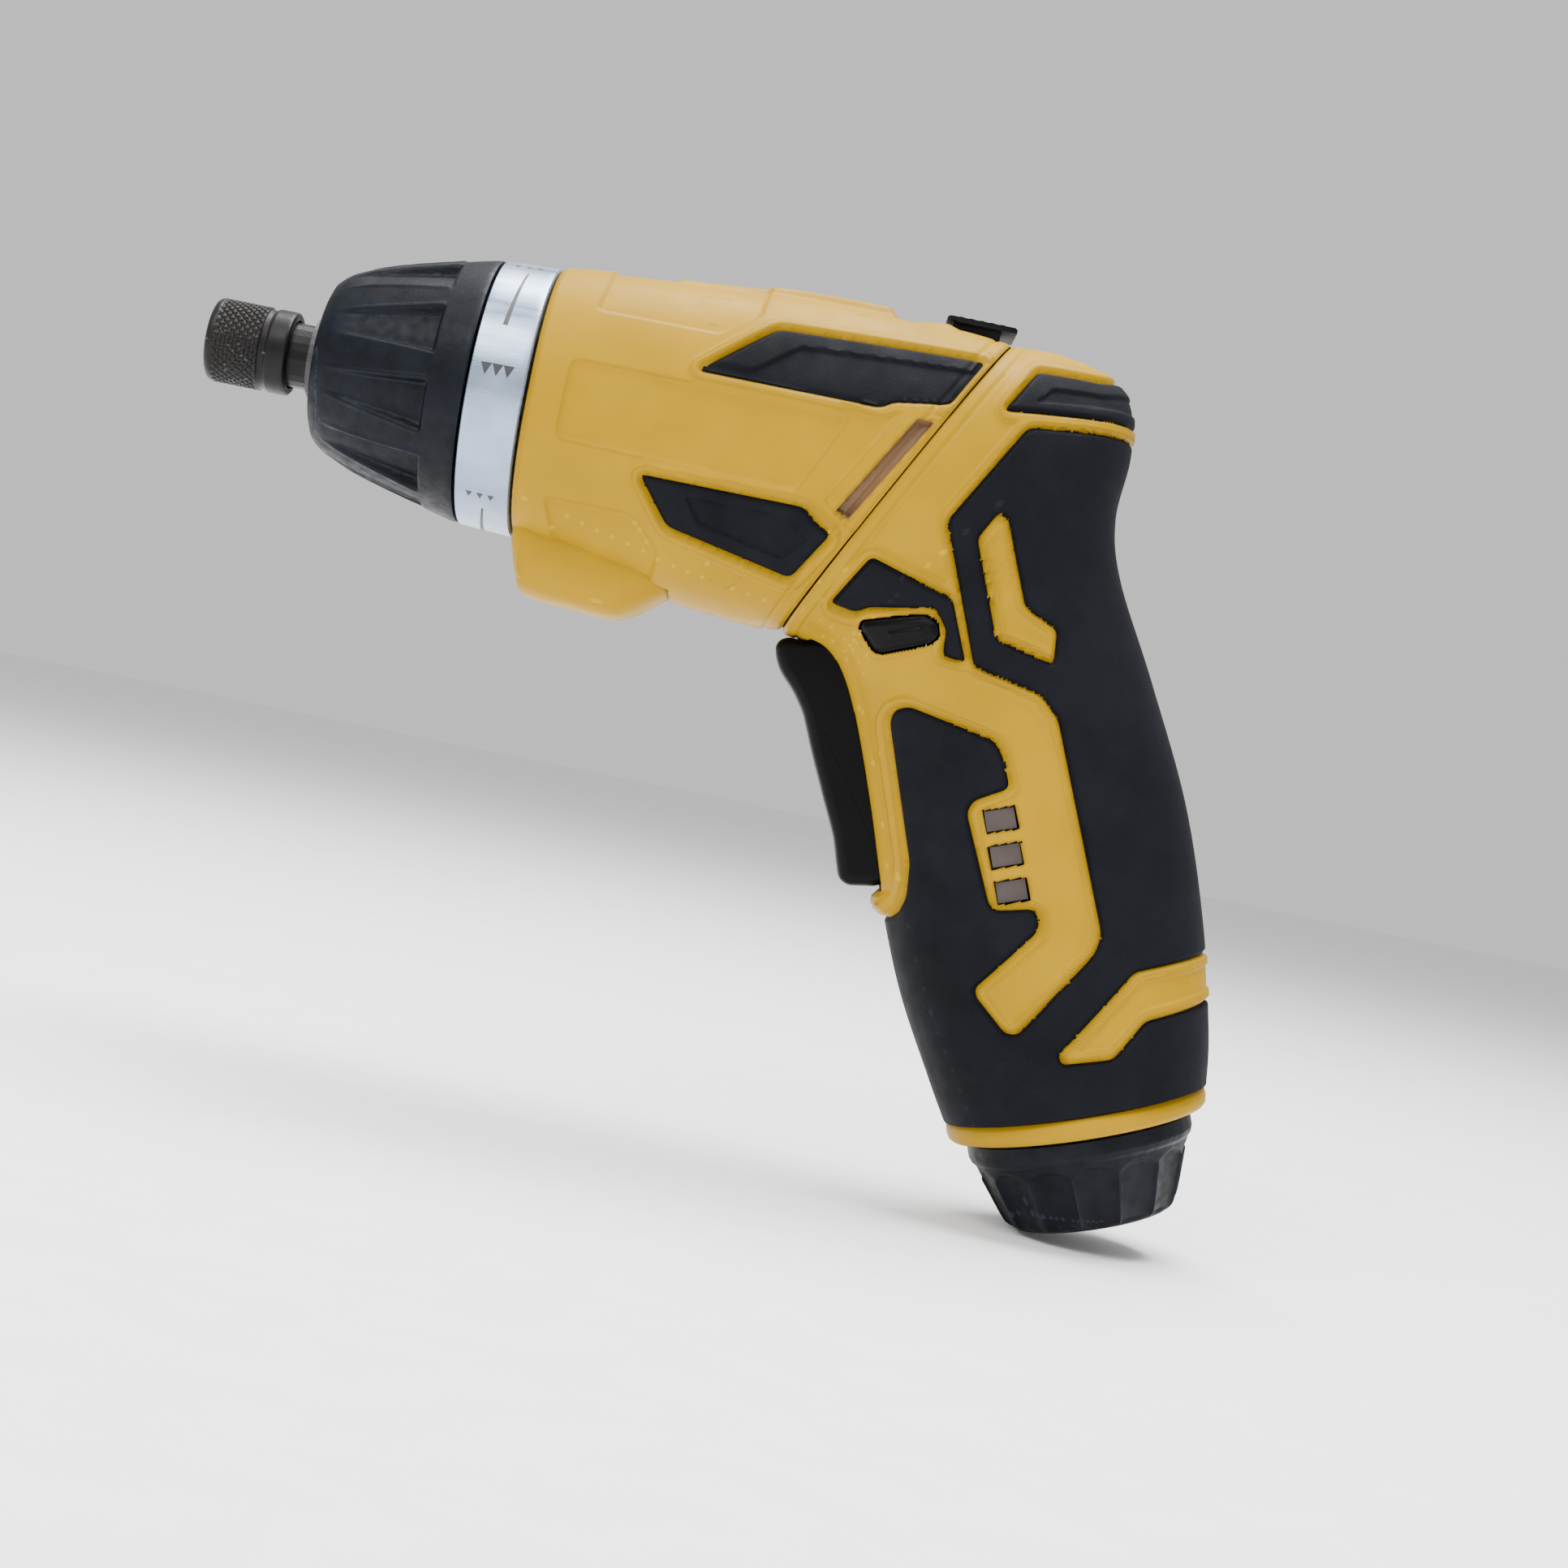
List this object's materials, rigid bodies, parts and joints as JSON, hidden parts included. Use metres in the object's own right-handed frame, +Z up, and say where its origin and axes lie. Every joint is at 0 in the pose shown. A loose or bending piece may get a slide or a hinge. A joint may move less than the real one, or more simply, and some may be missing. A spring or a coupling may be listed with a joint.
{
  "type": "cordless screwdriver",
  "caption": "Cordless screwdriver with a swivelling pistol handle, quick-release hex bit holder, torque collar with scale ring, lever trigger and push-through direction selector.",
  "frame": {"origin": "bit seat: centre of the magnet face at the bottom of the hex socket, on the spindle axis", "axes": "-X towards the bit, +Z up, pistol grip hanging below with its back to +X; +Y is the tool's right-hand side"},
  "size_m": [0.1951, 0.0488, 0.1524],
  "materials": {
    "yellow_body": "satin moulded shell, warm yellow",
    "black_grip": "fine-grained soft overmould, black",
    "black_collar": "slightly worn black, bluish sheen",
    "gloss_black": "glossy black control",
    "scale_silver": "brushed silver scale ring",
    "black_oxide": "black oxide, knurled",
    "bright_steel": "ground steel",
    "screw_steel": "black zinc screw",
    "gear_case": "glass-filled black plastic",
    "planet_plastic": "natural acetal",
    "motor_steel": "zinc-plated can",
    "ferrite": "sintered magnet",
    "rotor_copper": "laminations with lacquered copper",
    "brass": "turned brass",
    "lamp_clear": "clear moulded lens",
    "indicator_clear": "smoked light guide",
    "cell_wrap": "shrink-wrapped cell",
    "spring_steel": "spring wire"
  },
  "bodies": {
    "handle": {"handle_shell_left": "yellow_body", "handle_shell_right": "yellow_body", "grip_left": "black_grip", "grip_right": "black_grip", "shoulder_pad_left": "black_grip", "shoulder_pad_right": "black_grip", "heel_pad": "black_grip", "handle_screw_1": "screw_steel", "handle_screw_2": "screw_steel", "handle_screw_3": "screw_steel", "handle_screw_4": "screw_steel", "swivel_hub": "gear_case", "trigger_pin": "bright_steel", "switch_body": "gear_case", "level_indicator": "indicator_clear", "battery_cell_1": "cell_wrap", "battery_cell_2": "cell_wrap", "battery_cell_3": "cell_wrap", "end_ring": "yellow_body"},
    "head": {"head_shell_left": "yellow_body", "head_shell_right": "yellow_body", "head_insert_upper_left": "black_grip", "head_insert_upper_right": "black_grip", "head_insert_lower_left": "black_grip", "head_insert_lower_right": "black_grip", "head_screw_1": "screw_steel", "head_screw_2": "screw_steel", "head_screw_3": "screw_steel", "lamp_lens": "lamp_clear", "gearbox_case": "gear_case", "ring_gear": "bright_steel", "motor_can": "motor_steel", "motor_magnet": "ferrite", "motor_end_bell": "gear_case", "clutch_spring": "spring_steel", "swivel_lock_spring": "spring_steel"},
    "swivel_lock": {"swivel_lock_button": "gloss_black"},
    "collar": {"torque_collar": "black_collar", "torque_scale_ring": "scale_silver", "clutch_nut": "brass"},
    "spindle": {"spindle": "black_oxide", "bit_magnet": "bright_steel", "sleeve_clip": "bright_steel", "sleeve_spring": "spring_steel"},
    "sleeve": {"release_sleeve": "black_oxide"},
    "carrier": {"input_carrier": "bright_steel"},
    "rotor": {"motor_rotor": "rotor_copper", "motor_pinion": "brass"},
    "trigger": {"trigger": "gloss_black"},
    "selector": {"direction_selector": "gloss_black"},
    "cap": {"end_cap": "black_collar", "contact_spring": "spring_steel"},
    "planet_output_1": {"planet_output_1": "planet_plastic"},
    "planet_output_2": {"planet_output_2": "planet_plastic"},
    "planet_output_3": {"planet_output_3": "planet_plastic"},
    "planet_input_1": {"planet_input_1": "planet_plastic"},
    "planet_input_2": {"planet_input_2": "planet_plastic"},
    "planet_input_3": {"planet_input_3": "planet_plastic"}
  },
  "joints": [
    {"name": "head_swivel", "type": "hinge", "parent": "handle", "child": "head", "pos_m": [0.1059, 0, -0.002], "axis": [0.8862, 0, -0.4633], "range_deg": [0, 180]},
    {"name": "swivel_lock_slide", "type": "slide", "parent": "head", "child": "swivel_lock", "axis": [-1, 0, 0], "range_m": [0, 0.0025], "stiffness_N_per_m": 400, "springref_m": -0.005},
    {"name": "torque_collar_turn", "type": "hinge", "parent": "head", "child": "collar", "pos_m": [0, 0, 0], "axis": [-1, 0, 0], "range_deg": [0, 300]},
    {"name": "rotor_spin", "type": "hinge", "parent": "head", "child": "rotor", "pos_m": [0, 0, 0], "axis": [-1, 0, 0], "continuous": true},
    {"name": "carrier_spin", "type": "hinge", "parent": "head", "child": "carrier", "pos_m": [0, 0, 0], "axis": [-1, 0, 0], "continuous": true},
    {"name": "spindle_spin", "type": "hinge", "parent": "head", "child": "spindle", "pos_m": [0, 0, 0], "axis": [-1, 0, 0], "continuous": true},
    {"name": "sleeve_slide", "type": "slide", "parent": "spindle", "child": "sleeve", "axis": [1, 0, 0], "range_m": [0, 0.003], "stiffness_N_per_m": 800, "springref_m": -0.004},
    {"name": "trigger_pull", "type": "hinge", "parent": "handle", "child": "trigger", "pos_m": [0.1082, 0, -0.03584], "axis": [0, -1, 0], "range_deg": [0, 7], "stiffness_Nm_per_rad": 1.2, "springref_deg": -6.88},
    {"name": "direction_push", "type": "slide", "parent": "handle", "child": "selector", "axis": [0, 1, 0], "range_m": [-0.0025, 0.0025]},
    {"name": "end_cap_turn", "type": "hinge", "parent": "handle", "child": "cap", "pos_m": [0.16076, 0, -0.1096], "axis": [-0.3502, 0, 0.9367], "range_deg": [0, 90]},
    {"name": "planet_output_1_spin", "type": "hinge", "parent": "spindle", "child": "planet_output_1", "pos_m": [0, 0.00918, 0], "axis": [-1, 0, 0], "continuous": true},
    {"name": "planet_output_2_spin", "type": "hinge", "parent": "spindle", "child": "planet_output_2", "pos_m": [0, -0.00459, 0.00795], "axis": [-1, 0, 0], "continuous": true},
    {"name": "planet_output_3_spin", "type": "hinge", "parent": "spindle", "child": "planet_output_3", "pos_m": [0, -0.00459, -0.00795], "axis": [-1, 0, 0], "continuous": true},
    {"name": "planet_input_1_spin", "type": "hinge", "parent": "carrier", "child": "planet_input_1", "pos_m": [0, 0.00918, 0], "axis": [-1, 0, 0], "continuous": true},
    {"name": "planet_input_2_spin", "type": "hinge", "parent": "carrier", "child": "planet_input_2", "pos_m": [0, -0.00459, 0.00795], "axis": [-1, 0, 0], "continuous": true},
    {"name": "planet_input_3_spin", "type": "hinge", "parent": "carrier", "child": "planet_input_3", "pos_m": [0, -0.00459, -0.00795], "axis": [-1, 0, 0], "continuous": true}
  ],
  "couplings": [
    {"joint": "carrier_spin", "follows": "rotor_spin", "ratio": 0.16667},
    {"joint": "spindle_spin", "follows": "rotor_spin", "ratio": 0.027778},
    {"joint": "planet_output_1_spin", "follows": "rotor_spin", "ratio": -0.069444},
    {"joint": "planet_output_2_spin", "follows": "rotor_spin", "ratio": -0.069444},
    {"joint": "planet_output_3_spin", "follows": "rotor_spin", "ratio": -0.069444},
    {"joint": "planet_input_1_spin", "follows": "rotor_spin", "ratio": -0.41667},
    {"joint": "planet_input_2_spin", "follows": "rotor_spin", "ratio": -0.41667},
    {"joint": "planet_input_3_spin", "follows": "rotor_spin", "ratio": -0.41667}
  ]
}
